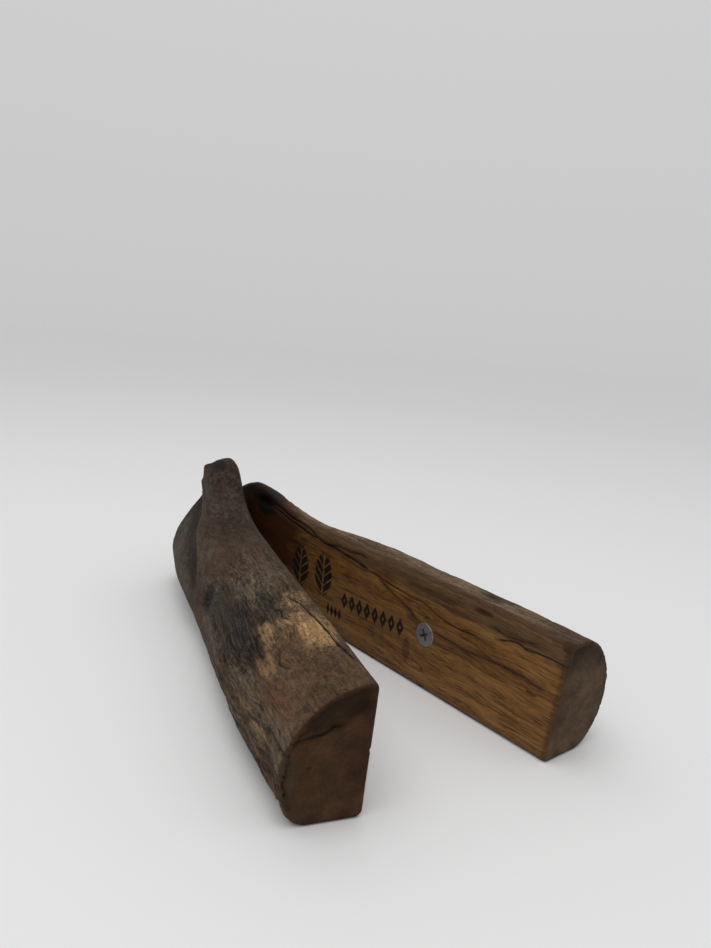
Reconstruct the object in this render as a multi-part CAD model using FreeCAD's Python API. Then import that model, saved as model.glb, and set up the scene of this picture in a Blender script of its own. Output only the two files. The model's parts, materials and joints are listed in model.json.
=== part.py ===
import FreeCAD, Part
import math
import os
from collections import namedtuple

Vector = FreeCAD.Vector

# A hardwood limb, split lengthwise into two halves that a small butt hinge joins at the head.
# Each half is drawn in its own frame: X runs from the hinge pin to the sawn end, Y runs out
# from the joint plane to the bark side, and Z runs up from the planed foot.

# Driving dimensions of the limb, in millimetres and degrees
LIMB_LENGTH = 182.0         # head end to sawn end, along the top
END_SLANT = 4.0             # how far the foot of the sawn end stands back from its top
PITH_HEIGHT = 13.5          # height of the thickest line above the foot
BELLY_HEIGHT = 38.0         # top of the round limb where a head stands on it

# The split ran a little to one side of the pith, so the two halves differ
LEFT_BODY_HEIGHT = 36.6     # foot to crown over the plain stretch
LEFT_END_HEIGHT = 36.2      # foot to crown at the sawn end
LEFT_BODY_THICKNESS = 26.0  # joint plane to bark side over the plain stretch
LEFT_END_THICKNESS = 22.0   # joint plane to bark side at the sawn end
LEFT_UNDERSIDE_DEPTH = 19.3 # how far the round underside reached below the pith before planing
LEFT_CROWN_INSET = 1.0      # crown of the limb, out from the joint plane
LEFT_CROWN_DROP = 0.2       # how far the top falls from the crown to the joint plane
RIGHT_BODY_HEIGHT = 38.5
RIGHT_END_HEIGHT = 36.2
RIGHT_BODY_THICKNESS = 26.0
RIGHT_END_THICKNESS = 23.3
RIGHT_UNDERSIDE_DEPTH = 17.0
RIGHT_CROWN_INSET = 5.0
RIGHT_CROWN_DROP = 0.9

# The raised heads
LEFT_HEAD_HEIGHT = 54.4
LEFT_HEAD_LENGTH = 43.0     # head end to where the top has come down to the limb
LEFT_STEM_THICKNESS = 14.5
RIGHT_HEAD_HEIGHT = 48.0
RIGHT_HEAD_LENGTH = 50.0
RIGHT_STEM_THICKNESS = 12.0

# How the halves meet
OPENING_ANGLE = 18.2        # between the inner faces, as it stands
FACE_GAP = 0.4              # between the inner faces when it is closed

# Hinge
PIN_RADIUS = 1.0
PIN_CLEARANCE = 0.03        # radial, in every knuckle
PIN_HEAD_RADIUS = 1.7
PIN_HEAD_HEIGHT = 0.6
KNUCKLE_RADIUS = 2.6
KNUCKLE_COUNT = 3
KNUCKLE_CLEARANCE = 0.1     # end to end
KNUCKLE_TO_WOOD = 0.6       # from the knuckle to the head end of the wood
LEAF_WIDTH = 15.0           # from the pin to the free edge
LEAF_THICKNESS = 1.2
LEAF_CLEARANCE = 0.1        # round a leaf in its recess
HINGE_HEIGHT = 25.0
HINGE_FOOT = 8.0            # underside of the leaves above the foot of the wood
LEAF_SCREW_HEAD_RADIUS = 2.2
LEAF_SCREW_SHANK_RADIUS = 1.2
LEAF_SCREW_LENGTH = 12.0
LEAF_SCREW_EDGE = 5.0       # from the free edge of a leaf to its screws
LEAF_SCREW_PITCH = 13.0

# Closing screw and magnet
KEEPER_ALONG = 127.7        # from the head end
KEEPER_HEIGHT = 18.6
KEEPER_HEAD_RADIUS = 4.0
KEEPER_SHANK_RADIUS = 2.0
KEEPER_LENGTH = 18.0
MAGNET_RADIUS = 5.0
MAGNET_DEPTH = 3.0
MAGNET_CLEARANCE = 0.05     # radial, in its pocket
SCREW_RIM = 0.3             # straight edge above a countersunk cone
SCREW_HOLE_CLEARANCE = 0.05 # radial, round a screw's shank

# Worked out from the sizes above
INNER_FACE = FACE_GAP / 2
HEAD_END = KNUCKLE_RADIUS + KNUCKLE_TO_WOOD
CUT_MARGIN = 5.0
ABOVE_HEADS = max(LEFT_HEAD_HEIGHT, RIGHT_HEAD_HEIGHT) + CUT_MARGIN
OUTLINE_STEP = 15           # degrees between the points of a section

# One section of a half: distance from the head end, height of its crown, thickness at the
# pith, and thickness of the stem that stands on it (none on the plain stretch)
Section = namedtuple("Section", "along top thickness stem")

# What every section of a half shares. Squareness is the power that shapes the stem's top:
# 2 is an ellipse, and more is squarer
Bark = namedtuple("Bark", "crown_inset crown_drop underside squareness")

LEFT_BARK = Bark(LEFT_CROWN_INSET, LEFT_CROWN_DROP, LEFT_UNDERSIDE_DEPTH, 6)
RIGHT_BARK = Bark(RIGHT_CROWN_INSET, RIGHT_CROWN_DROP, RIGHT_UNDERSIDE_DEPTH, 2)


def between(start, end, share):
    return start + (end - start) * share


def left_sections():
    """Head with an upright stub at its very end, running down in a hollow curve."""
    drop = LEFT_HEAD_HEIGHT - BELLY_HEIGHT
    length, stem = LEFT_HEAD_LENGTH, LEFT_STEM_THICKNESS
    body, end = LEFT_BODY_THICKNESS, LEFT_END_THICKNESS
    return [
        Section(0, LEFT_HEAD_HEIGHT, body - 1.0, stem),
        Section(0.3 * length, LEFT_HEAD_HEIGHT - 0.05 * drop, body, stem + 0.5),
        Section(0.53 * length, BELLY_HEIGHT + 0.58 * drop, body + 0.5, stem + 2.0),
        Section(length, BELLY_HEIGHT + 0.1 * drop, body + 0.5, stem + 4.5),
        Section(between(length, LIMB_LENGTH, 0.23), LEFT_BODY_HEIGHT + 0.5, body, 0),
        Section(between(length, LIMB_LENGTH, 0.55), LEFT_BODY_HEIGHT, body, 0),
        Section(between(length, LIMB_LENGTH, 0.8), LEFT_BODY_HEIGHT, between(body, end, 0.4), 0),
        Section(LIMB_LENGTH, LEFT_END_HEIGHT, end, 0),
    ]


def right_sections():
    """Rounded head, highest a little way in from its end."""
    drop = RIGHT_HEAD_HEIGHT - BELLY_HEIGHT
    length, stem = RIGHT_HEAD_LENGTH, RIGHT_STEM_THICKNESS
    body, end = RIGHT_BODY_THICKNESS, RIGHT_END_THICKNESS
    fall = RIGHT_BODY_HEIGHT - RIGHT_END_HEIGHT
    return [
        Section(0, BELLY_HEIGHT + 0.4 * drop, body - 2.0, stem),
        Section(0.18 * length, BELLY_HEIGHT + 0.8 * drop, body - 1.0, stem),
        Section(0.42 * length, RIGHT_HEAD_HEIGHT, body, stem + 1.0),
        Section(0.68 * length, BELLY_HEIGHT + 0.75 * drop, body, stem + 2.0),
        Section(length, BELLY_HEIGHT + 0.35 * drop, body, stem + 2.0),
        Section(between(length, LIMB_LENGTH, 0.25), RIGHT_BODY_HEIGHT + 0.3 * fall, body, 0),
        Section(between(length, LIMB_LENGTH, 0.55), RIGHT_BODY_HEIGHT, body, 0),
        Section(between(length, LIMB_LENGTH, 0.8), RIGHT_END_HEIGHT + 0.5 * fall, body, 0),
        Section(LIMB_LENGTH, RIGHT_END_HEIGHT, end, 0),
    ]


def thickness_at(height, section, bark):
    """Joint plane to bark side: the round limb, widened to the stem where one stands on it."""
    reach = section.thickness - bark.crown_inset
    belly_top = min(section.top, BELLY_HEIGHT) if section.stem else section.top
    radius = belly_top - PITH_HEIGHT if height > PITH_HEIGHT else bark.underside
    rise = (height - PITH_HEIGHT) / radius
    belly = bark.crown_inset + reach * math.sqrt(1 - rise * rise) if abs(rise) < 1 else 0
    if not section.stem or height < PITH_HEIGHT:
        return belly
    upper = (height - PITH_HEIGHT) / (section.top - PITH_HEIGHT)
    stem = section.stem * (1 - upper ** bark.squareness) ** (1 / bark.squareness)
    return (belly ** 4 + stem ** 4) ** (1 / 4)


def section_wire(section, bark, along):
    """Closed outline of the whole round limb on the bark side, running past every saw cut."""
    points = [(-CUT_MARGIN, section.top - 2 * bark.crown_drop),
              (0, section.top - bark.crown_drop), (bark.crown_inset, section.top)]
    for degrees in range(OUTLINE_STEP, 180 - OUTLINE_STEP + 1, OUTLINE_STEP):
        turn = math.cos(math.radians(degrees))
        radius = section.top - PITH_HEIGHT if turn > 0 else bark.underside
        height = PITH_HEIGHT + radius * turn
        points.append((thickness_at(height, section, bark), height))
    underside = PITH_HEIGHT - bark.underside
    points += [(0, underside), (-CUT_MARGIN, underside)]
    placed = [Vector(along, out, up) for out, up in points]
    contour = Part.BSplineCurve()
    contour.interpolate(placed)
    return Part.Wire([contour.toShape(), Part.makeLine(placed[-1], placed[0])])


def round_limb(sections, bark):
    """The limb before it is sawn, a little longer than the half at both ends."""
    first, last = sections[0], sections[-1]
    wires = [section_wire(first, bark, HEAD_END + first.along - CUT_MARGIN)]
    wires += [section_wire(section, bark, HEAD_END + section.along) for section in sections]
    wires.append(section_wire(last, bark, HEAD_END + last.along + CUT_MARGIN))
    return Part.makeLoft(wires, True, False)


def saw_cuts():
    """Block between the two sawn ends, the split face and the planed foot."""
    top_of_end = HEAD_END + LIMB_LENGTH
    slope = END_SLANT / max(LEFT_END_HEIGHT, RIGHT_END_HEIGHT)
    corners = [
        Vector(HEAD_END, INNER_FACE, 0),
        Vector(top_of_end - END_SLANT, INNER_FACE, 0),
        Vector(top_of_end - END_SLANT + slope * ABOVE_HEADS, INNER_FACE, ABOVE_HEADS),
        Vector(HEAD_END, INNER_FACE, ABOVE_HEADS),
    ]
    face = Part.Face(Part.makePolygon(corners + corners[:1]))
    return face.extrude(Vector(0, max(LEFT_BODY_THICKNESS, RIGHT_BODY_THICKNESS) + CUT_MARGIN, 0))


def leaf_recess():
    """Shallow recess that lets a hinge leaf lie flush with the inner face."""
    length = LEAF_WIDTH + LEAF_CLEARANCE
    height = HINGE_HEIGHT + 2 * LEAF_CLEARANCE
    corner = Vector(0, INNER_FACE, HINGE_FOOT - LEAF_CLEARANCE)
    return Part.makeBox(length, LEAF_THICKNESS, height, corner)


def screw_body(head_radius, shank_radius, length, centre, clearance=0.0):
    """Countersunk screw driven outwards from the inner face; the shank may be let out."""
    outwards = Vector(0, 1, 0)
    cone = head_radius - shank_radius
    rim = Part.makeCylinder(head_radius, SCREW_RIM, centre, outwards)
    seat = Part.makeCone(head_radius, shank_radius, cone, centre + outwards * SCREW_RIM, outwards)
    start = centre + outwards * (SCREW_RIM + cone)
    run = length - SCREW_RIM - cone - shank_radius
    shank = Part.makeCylinder(shank_radius + clearance, run, start, outwards)
    tip = Part.makeCone(shank_radius + clearance, clearance, shank_radius,
                        start + outwards * run, outwards)
    return rim.fuse([seat, shank, tip]).removeSplitter()


def cross_recess(head_radius, centre):
    """Driver recess: two crossed slots that narrow as they go in."""
    reach = 0.58 * head_radius
    width = 0.25 * head_radius
    depth = 0.45 * head_radius
    slots = []
    for turn in (45, 135):
        mouth = Part.makePlane(2 * reach, width, Vector(-reach, -width / 2, 0))
        floor = Part.makePlane(reach, width / 2, Vector(-reach / 2, -width / 4, depth))
        slot = Part.makeLoft([mouth.OuterWire, floor.OuterWire], True, True)
        slot.rotate(Vector(0, 0, 0), Vector(0, 0, 1), turn)
        slot.rotate(Vector(0, 0, 0), Vector(1, 0, 0), -90)
        slot.translate(centre)
        slots.append(slot)
    return slots[0].fuse(slots[1])


def screw(head_radius, shank_radius, length, centre):
    body = screw_body(head_radius, shank_radius, length, centre)
    return body.cut(cross_recess(head_radius, centre))


def leaf_screw_centres():
    along = LEAF_WIDTH - LEAF_SCREW_EDGE
    middle = HINGE_FOOT + HINGE_HEIGHT / 2
    return [Vector(along, INNER_FACE, middle + side * LEAF_SCREW_PITCH / 2) for side in (-1, 1)]


def leaf_screws():
    return Part.makeCompound([
        screw(LEAF_SCREW_HEAD_RADIUS, LEAF_SCREW_SHANK_RADIUS, LEAF_SCREW_LENGTH, centre)
        for centre in leaf_screw_centres()
    ])


def leaf_screw_holes():
    return [screw_body(LEAF_SCREW_HEAD_RADIUS, LEAF_SCREW_SHANK_RADIUS, LEAF_SCREW_LENGTH,
                       centre, SCREW_HOLE_CLEARANCE) for centre in leaf_screw_centres()]


def knuckle_span(index):
    """Bottom and height of one knuckle, counted up from the foot of the hinge."""
    pitch = HINGE_HEIGHT / KNUCKLE_COUNT
    bottom = HINGE_FOOT + index * pitch + (KNUCKLE_CLEARANCE / 2 if index else 0)
    top = HINGE_FOOT + (index + 1) * pitch
    if index < KNUCKLE_COUNT - 1:
        top -= KNUCKLE_CLEARANCE / 2
    return bottom, top - bottom


def hinge_leaf(own_knuckles):
    """Flat leaf with its knuckles rolled round the pin; the gaps take the other leaf's."""
    plate_start = KNUCKLE_RADIUS + KNUCKLE_CLEARANCE
    corner = Vector(plate_start, INNER_FACE, HINGE_FOOT)
    leaf = Part.makeBox(LEAF_WIDTH - plate_start, LEAF_THICKNESS, HINGE_HEIGHT, corner)
    pieces = []
    for index in own_knuckles:
        bottom, height = knuckle_span(index)
        pieces.append(Part.makeCylinder(KNUCKLE_RADIUS, height, Vector(0, 0, bottom)))
        pieces.append(Part.makeBox(plate_start, LEAF_THICKNESS, height,
                                   Vector(0, INNER_FACE, bottom)))
    leaf = leaf.fuse(pieces).removeSplitter()
    bore = Part.makeCylinder(PIN_RADIUS + PIN_CLEARANCE, HINGE_HEIGHT, Vector(0, 0, HINGE_FOOT))
    return leaf.cut([bore] + leaf_screw_holes())


def hinge_pin():
    """Pin with a flat head that rests on the top knuckle."""
    top = HINGE_FOOT + HINGE_HEIGHT
    shaft = Part.makeCylinder(PIN_RADIUS, HINGE_HEIGHT, Vector(0, 0, HINGE_FOOT))
    head = Part.makeCylinder(PIN_HEAD_RADIUS, PIN_HEAD_HEIGHT, Vector(0, 0, top))
    return shaft.fuse(head).removeSplitter()


def closing_centre():
    return Vector(HEAD_END + KEEPER_ALONG, INNER_FACE, KEEPER_HEIGHT)


def keeper_screw():
    return screw(KEEPER_HEAD_RADIUS, KEEPER_SHANK_RADIUS, KEEPER_LENGTH, closing_centre())


def closing_magnet():
    return Part.makeCylinder(MAGNET_RADIUS, MAGNET_DEPTH, closing_centre(), Vector(0, 1, 0))


def wooden_half(sections, bark, pocket):
    """A sawn and planed half with its hinge recess, hinge screw holes and one more pocket."""
    half = round_limb(sections, bark).common(saw_cuts())
    return half.cut([leaf_recess(), pocket] + leaf_screw_holes())


def right_half():
    hole = screw_body(KEEPER_HEAD_RADIUS, KEEPER_SHANK_RADIUS, KEEPER_LENGTH,
                      closing_centre(), SCREW_HOLE_CLEARANCE)
    return wooden_half(right_sections(), RIGHT_BARK, hole)


def left_half():
    pocket = Part.makeCylinder(MAGNET_RADIUS + MAGNET_CLEARANCE, MAGNET_DEPTH,
                               closing_centre(), Vector(0, 1, 0))
    return wooden_half(left_sections(), LEFT_BARK, pocket)


def place(shape, side):
    """Turn a piece from its half's own frame to where it stands: side is 1 right, -1 left."""
    if side < 0:
        shape = shape.mirror(Vector(0, 0, 0), Vector(0, 1, 0))
    turned = shape.copy()
    turned.rotate(Vector(0, 0, 0), Vector(0, 0, 1), -90 + side * OPENING_ANGLE / 2)
    return turned


def build():
    outer_knuckles = [index for index in range(KNUCKLE_COUNT) if index % 2 == 0]
    inner_knuckles = [index for index in range(KNUCKLE_COUNT) if index % 2 == 1]
    nodes = {
        "right_half": place(right_half(), 1),
        "keeper_screw": place(keeper_screw(), 1),
        "hinge_leaf_right": place(hinge_leaf(outer_knuckles), 1),
        "hinge_screws_right": place(leaf_screws(), 1),
        "hinge_pin": place(hinge_pin(), 1),
        "left_half": place(left_half(), -1),
        "closing_magnet": place(closing_magnet(), -1),
        "hinge_leaf_left": place(hinge_leaf(inner_knuckles), -1),
        "hinge_screws_left": place(leaf_screws(), -1),
    }
    # The origin is on the ground under the middle of the whole object
    box = Part.makeCompound(list(nodes.values())).optimalBoundingBox(False)
    shift = Vector(-(box.XMin + box.XMax) / 2, -(box.YMin + box.YMax) / 2, -box.ZMin)
    for shape in nodes.values():
        shape.translate(shift)
    print("hinge axis at", [round(value, 3) for value in shift])
    return nodes


def main():
    os.makedirs("parts", exist_ok=True)
    for name, shape in build().items():
        assert shape.isValid(), name
        print(name, "solids", len(shape.Solids), "volume", round(shape.Volume, 1))
        shape.exportStep("parts/" + name + ".step")


main()
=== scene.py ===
import json
import math

import bmesh
import bpy
import numpy as np
from mathutils import Matrix, Vector
from mathutils.bvhtree import BVHTree


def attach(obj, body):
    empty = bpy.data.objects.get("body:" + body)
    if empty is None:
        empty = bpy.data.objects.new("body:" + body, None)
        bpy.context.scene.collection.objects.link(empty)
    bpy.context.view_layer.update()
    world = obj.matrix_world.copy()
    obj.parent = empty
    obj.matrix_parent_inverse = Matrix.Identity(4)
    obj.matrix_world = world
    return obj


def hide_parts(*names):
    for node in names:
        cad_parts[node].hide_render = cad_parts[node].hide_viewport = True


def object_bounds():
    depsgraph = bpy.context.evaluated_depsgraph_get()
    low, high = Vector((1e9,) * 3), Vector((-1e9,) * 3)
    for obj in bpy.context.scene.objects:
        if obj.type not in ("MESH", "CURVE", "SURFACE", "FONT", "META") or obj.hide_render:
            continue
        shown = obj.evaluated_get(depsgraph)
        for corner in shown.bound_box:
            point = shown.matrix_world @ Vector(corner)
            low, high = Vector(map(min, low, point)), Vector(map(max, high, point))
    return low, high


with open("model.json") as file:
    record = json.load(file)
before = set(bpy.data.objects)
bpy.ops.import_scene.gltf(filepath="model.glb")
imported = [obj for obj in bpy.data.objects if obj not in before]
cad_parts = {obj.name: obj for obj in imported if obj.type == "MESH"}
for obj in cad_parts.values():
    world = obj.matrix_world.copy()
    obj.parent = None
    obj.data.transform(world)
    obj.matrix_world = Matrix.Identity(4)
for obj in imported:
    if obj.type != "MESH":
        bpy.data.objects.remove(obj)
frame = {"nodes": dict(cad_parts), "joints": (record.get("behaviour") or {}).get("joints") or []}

bl_info = {
    "name": "Split Limb",
    "version": (1, 0, 0),
    "blender": (4, 5, 0),
    "location": "View3D > Sidebar > Split Limb",
    "description": "Builds the looks of a hinged, lengthwise split hardwood limb",
    "category": "Object",
}

MM = 0.001
CAD_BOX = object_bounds()
HINGE = frame["joints"][0]
PIN = Vector((HINGE["pos_m"][0], HINGE["pos_m"][1], 0.0))
HALF_OPENING = math.radians(-HINGE["range_deg"][0] / 2)
SIDES = {"right": 1, "left": -1}

# Each half has its own measures, in millimetres: "along" from the pin to the sawn end, "out"
# from the joint plane to the bark side, and "up" from the planed foot. The tables and the
# materials count "along" from the head end.


def half_turn(side):
    """Angle about Z that lays a half's own frame where the half stands."""
    return -math.pi / 2 + side * HALF_OPENING


def to_place(side, points):
    """Points in a half's own frame, in millimetres, to places in metres."""
    turn = half_turn(side)
    cos, sin = math.cos(turn), math.sin(turn)
    along, out, up = points[:, 0], points[:, 1] * side, points[:, 2]
    x = along * cos - out * sin
    y = along * sin + out * cos
    return np.stack([x, y, up], axis=1) * MM + np.array(PIN)


def to_half(side, places):
    """Places in metres to points in a half's own frame, in millimetres."""
    turn = half_turn(side)
    cos, sin = math.cos(turn), math.sin(turn)
    x, y, z = ((places - np.array(PIN)) / MM).T
    return np.stack([x * cos + y * sin, (y * cos - x * sin) * side, z], axis=1)


def node_points(name, side):
    """A CAD node's corners in its half's own frame."""
    mesh = frame["nodes"][name].data
    flat = np.empty(len(mesh.vertices) * 3)
    mesh.vertices.foreach_get("co", flat)
    return to_half(side, flat.reshape(-1, 3))


def extent(name, side):
    """A CAD node's lowest and highest corner in its half's own frame."""
    points = node_points(name, side)
    return points.min(axis=0), points.max(axis=0)


def middle(corners, axis):
    """The middle of a box given by two corners, along one axis."""
    return float(corners[0][axis] + corners[1][axis]) / 2


def width_of(corners, axis):
    """The size of a box given by two corners, along one axis."""
    return float(corners[1][axis] - corners[0][axis])


def scaled(colour, factor):
    """A lighter or darker colour."""
    return tuple(part * factor for part in colour)


def tinted(colour, shares):
    """A colour with each of its parts scaled by its own share."""
    return tuple(part * share for part, share in zip(colour, shares))


# Where things are, read from the frame
HALF_LOW, HALF_HIGH = extent("right_half", 1)
HEAD_END = float(HALF_LOW[0])
INNER_FACE = float(HALF_LOW[1])
SAWN_END = float(HALF_HIGH[0])
LIMB_LENGTH = SAWN_END - HEAD_END
SCREW = extent("keeper_screw", 1)
SCREW_ALONG, SCREW_UP = middle(SCREW, 0), middle(SCREW, 2)
SCREW_RADIUS = width_of(SCREW, 2) / 2
MAGNET = extent("closing_magnet", -1)
# Growth rings and ring outlines are drawn round these points: (out, up)
PITH = (-3.0, 12.5)
RING_CENTRE = (8.0, 17.0)

# Natural cracks of the split face: (along from the head end, up), width and depth
FACE_CRACKS = (
    (((27, 41.2), (38, 40.3), (46, 38.4), (54, 37.7), (60, 36.9), (66, 34.7)), 0.34, 0.5),
    (((30, 40.1), (38, 38.6), (45, 37.1), (53, 35.9), (58, 35.1), (62, 34.5), (66, 34.7)), 0.4, 0.6),
    (((66, 34.7), (70, 33.7), (77, 33.9), (81, 33.1), (88, 32.6), (97, 31.3)), 0.4, 0.5),
    (((73, 33.9), (79, 35.0), (86, 34.7), (91, 35.5), (97, 35.2)), 0.28, 0.3),
    (((97, 31.3), (106, 30.2), (113, 29.6), (119, 28.7), (125, 28.9), (131, 27.4), (136, 26.2),
      (141, 25.9), (149, 26.5)), 0.3, 0.3),
    (((103, 30.0), (110, 27.4), (117, 25.2), (124, 22.2)), 0.4, 0.3),
    (((131, 20.9), (138, 20.8), (144, 20.2), (152, 20.8), (162, 21.4), (168, 21.3), (175, 20.1)),
     0.45, 0.2),
    (((157, 28.2), (162, 29.8), (165, 30.2), (167, 29.4), (172, 29.8), (176, 29.9), (182, 29.5)),
     0.4, 0.35),
    (((155, 31.6), (160, 30.6), (168, 31.6), (172, 32.9)), 0.25, 0.2),
    (((140, 24.6), (149, 23.3), (158, 21.3), (168, 20.4)), 0.2, 0.12),
    (((150, 9.8), (157, 8.3), (165, 7.7), (171, 5.9)), 0.2, 0.12),
)
# Long crack on top of the left half: (along from the head end, out)
TOP_CRACKS = (
    (((126, 7.4), (133, 5.2), (141, 4.7), (151, 4.0), (162, 3.5), (171, 2.3)), 0.34, 0.5),
    (((131, 12.6), (134, 11.0), (138, 11.6), (142, 10.2)), 0.35, 0.35),
    (((137, 18.4), (143, 19.3), (150, 18.6)), 0.4, 0.4),
    (((152, 15.8), (157, 16.9), (162, 15.6)), 0.32, 0.3),
)

# Split under the rough strip of the left sawn end: (out, up)
END_SPLIT = (((8, 25.6), (10, 25.1), (13, 23.9), (16.5, 23.2), (20.5, 22.7)), 0.42, 0.5)
# Soft ridge from the left head down its outer side
RIDGE_ALONG = (0, 12, 27, 51, 61, 70, 80, 100)
RIDGE_UP = (44, 39.5, 35.6, 31, 26.8, 22.5, 19, 12)
# Swellings and dents: height, centre (along, out, up) and radii
BARK_LUMPS = {
    SIDES["left"]: (
        (-1.6, (89, 24, 22), (4.6, 5, 3.0)), (0.6, (94, 24, 25), (7, 7, 4)),
        (-0.6, (124, 17, 31), (12, 7, 4)), (0.6, (150, 12, 34), (13, 8, 5)),
        (-0.8, (143, 20.5, 28), (6, 2.5, 2.5)), (0.45, (130, 8, 36), (6, 4, 5))),
    SIDES["right"]: (
        (-0.6, (148, 8, 38), (6, 3.5, 4)), (-0.4, (96, 3, 39), (10, 3, 4))),
}
# Knot holes of the right split face, deep where the height is positive
FACE_HOLES = (
    (1.6, (26.5, 0.2, 40.2), (4.2, 4, 1.7)), (0.5, (151, 0.2, 34.5), (3.4, 4, 1.2)),
    (0.35, (170.5, 0.2, 17.7), (2.4, 4, 0.7)))
# Chips out of the sawn ends: depth, centre (out, up) and radii
END_CHIPS = {
    SIDES["left"]: (
        (0.9, (21.5, 9.2), (1.6, 0.9)), (0.7, (14.9, 15.6), (0.6, 0.6)),
        (1.0, (9.9, 25.7), (1.3, 0.8)), (0.5, (3.5, 30.8), (2.2, 1.0))),
    SIDES["right"]: ((1.2, (4.5, 34.5), (4.5, 2.8)),),
}
# Lower edge of the bevel along the top of the left sawn end
BEVEL_OUT = (0, 6, 12, 17, 20, 24)
BEVEL_UP = (29.5, 27.3, 25.0, 23.6, 22.8, 21.8)
# Small knots and dark streaks of the split face: centre (along, out, up), radii, strength
FACE_SPOTS = (
    ((150.5, 0, 34.4), (3.6, 5, 0.7), 0.7), ((119.8, 0, 10.4), (1.9, 5, 4.0), 0.5),
    ((122.8, 0, 22.2), (4.0, 5, 1.2), 0.6), ((170.5, 0, 17.7), (1.9, 5, 0.45), 0.7),
    ((180.6, 0, 35.2), (2.2, 5, 1.8), 0.75), ((106, 0, 31.5), (7, 5, 1.0), 0.45),
    ((141, 0, 30.8), (9, 5, 0.8), 0.5), ((86, 0, 25.6), (2.6, 5, 0.6), 0.6),
    ((150, 0, 20.5), (24, 5, 4.0), 0.3), ((129, 0, 33.4), (12, 5, 1.0), 0.5),
    ((163, 0, 31.6), (9, 5, 1.0), 0.5),
)
# Burnt marks of the split face: centres of the leaves, then the rows of lozenges
LEAVES = ((71.0, 21.6), (55.5, 20.6))
LEAF_BOW, LEAF_HALF_WIDTH, VEIN_STEP = 4.6, 5.4, 3.6
ROW_START, ROW_STEP, ROW_COUNT, ROW_UP = 83.0, 4.4, 8, 16.3
SMALL_ROW_START, SMALL_ROW_END, SMALL_ROW_STEP, SMALL_ROW_UP = 74.4, 84.0, 2.4, 9.4


class LimbSizes(bpy.types.PropertyGroup):
    """Sizes of the wood's surface."""
    ring_step: bpy.props.FloatProperty(
        name="Ring Step", description="Spacing of the mesh along the limb, in millimetres",
        default=0.47, min=0.2, max=4.0)
    arris: bpy.props.FloatProperty(
        name="Arris", description="Rounding of the worn edges, in millimetres",
        default=1.0, min=0.1, max=3.0)
    relief: bpy.props.FloatProperty(
        name="Relief", description="How strongly the bark side swells and furrows",
        default=1.0, min=0.0, max=2.0, subtype="FACTOR")


def paint(name, description, default):
    """A colour property, in linear light."""
    return bpy.props.FloatVectorProperty(name=name, description=description, default=default,
                                         subtype="COLOR")


class LimbColours(bpy.types.PropertyGroup):
    """Colours of the wood and the metal."""
    split_face: paint("Split Face", "Oiled face of the split", (0.166, 0.073, 0.017))
    honey: paint("Honey", "Lighter streaks of the split face", (0.232, 0.116, 0.033))
    heartwood: paint("Heartwood", "Dark streaks of the split face", (0.052, 0.018, 0.004))
    taupe: paint("Taupe", "Weathered bark side", (0.042, 0.024, 0.0135))
    ash: paint("Ash", "Greyer weathering", (0.050, 0.037, 0.024))
    tan: paint("Tan", "Wood worn bare", (0.200, 0.120, 0.056))
    stain: paint("Stain", "Blue-grey stain and knots", (0.014, 0.011, 0.009))
    end_grain: paint("End Grain", "Sawn ends", (0.061, 0.029, 0.0115))
    burn: paint("Burn", "Burnt marks", (0.010, 0.006, 0.005))
    zinc: paint("Zinc", "Plating of the keeper screw", (0.27, 0.265, 0.27))
    brass: paint("Brass", "Hinge and its screws", (0.30, 0.20, 0.08))
    nickel: paint("Nickel", "Plating of the magnet", (0.62, 0.60, 0.56))
    floor: paint("Floor", "Plain floor", (0.86, 0.86, 0.86))


class StageSizes(bpy.types.PropertyGroup):
    """Camera and light."""
    camera_from_pin: bpy.props.FloatVectorProperty(
        name="Camera From Pin", description="Place of the camera from the foot of the hinge pin",
        default=(-0.1115, -0.3055, 0.1089), subtype="TRANSLATION", unit="LENGTH")
    azimuth: bpy.props.FloatProperty(
        name="Azimuth", description="Direction of view, from +Y towards +X",
        default=math.radians(30.0), subtype="ANGLE", unit="ROTATION")
    pitch: bpy.props.FloatProperty(
        name="Pitch", description="How far the camera looks down",
        default=math.radians(10.16), subtype="ANGLE", unit="ROTATION")
    roll: bpy.props.FloatProperty(
        name="Roll", description="Roll about the line of view",
        default=math.radians(-4.73), subtype="ANGLE", unit="ROTATION")
    lens: bpy.props.FloatProperty(
        name="Lens", description="Focal length, in millimetres",
        default=27.04, min=10.0, max=200.0, unit="CAMERA")
    key: bpy.props.FloatProperty(
        name="Key Light", description="Power of the large soft light overhead",
        default=2.6, min=0.0, unit="POWER")
    horizon: bpy.props.FloatProperty(
        name="Horizon", description="Strength of the even light at the horizon",
        default=0.57, min=0.0)
    zenith: bpy.props.FloatProperty(
        name="Zenith", description="Strength of the even light overhead",
        default=0.70, min=0.0)


# Shader maths -----------------------------------------------------------------------------


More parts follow.
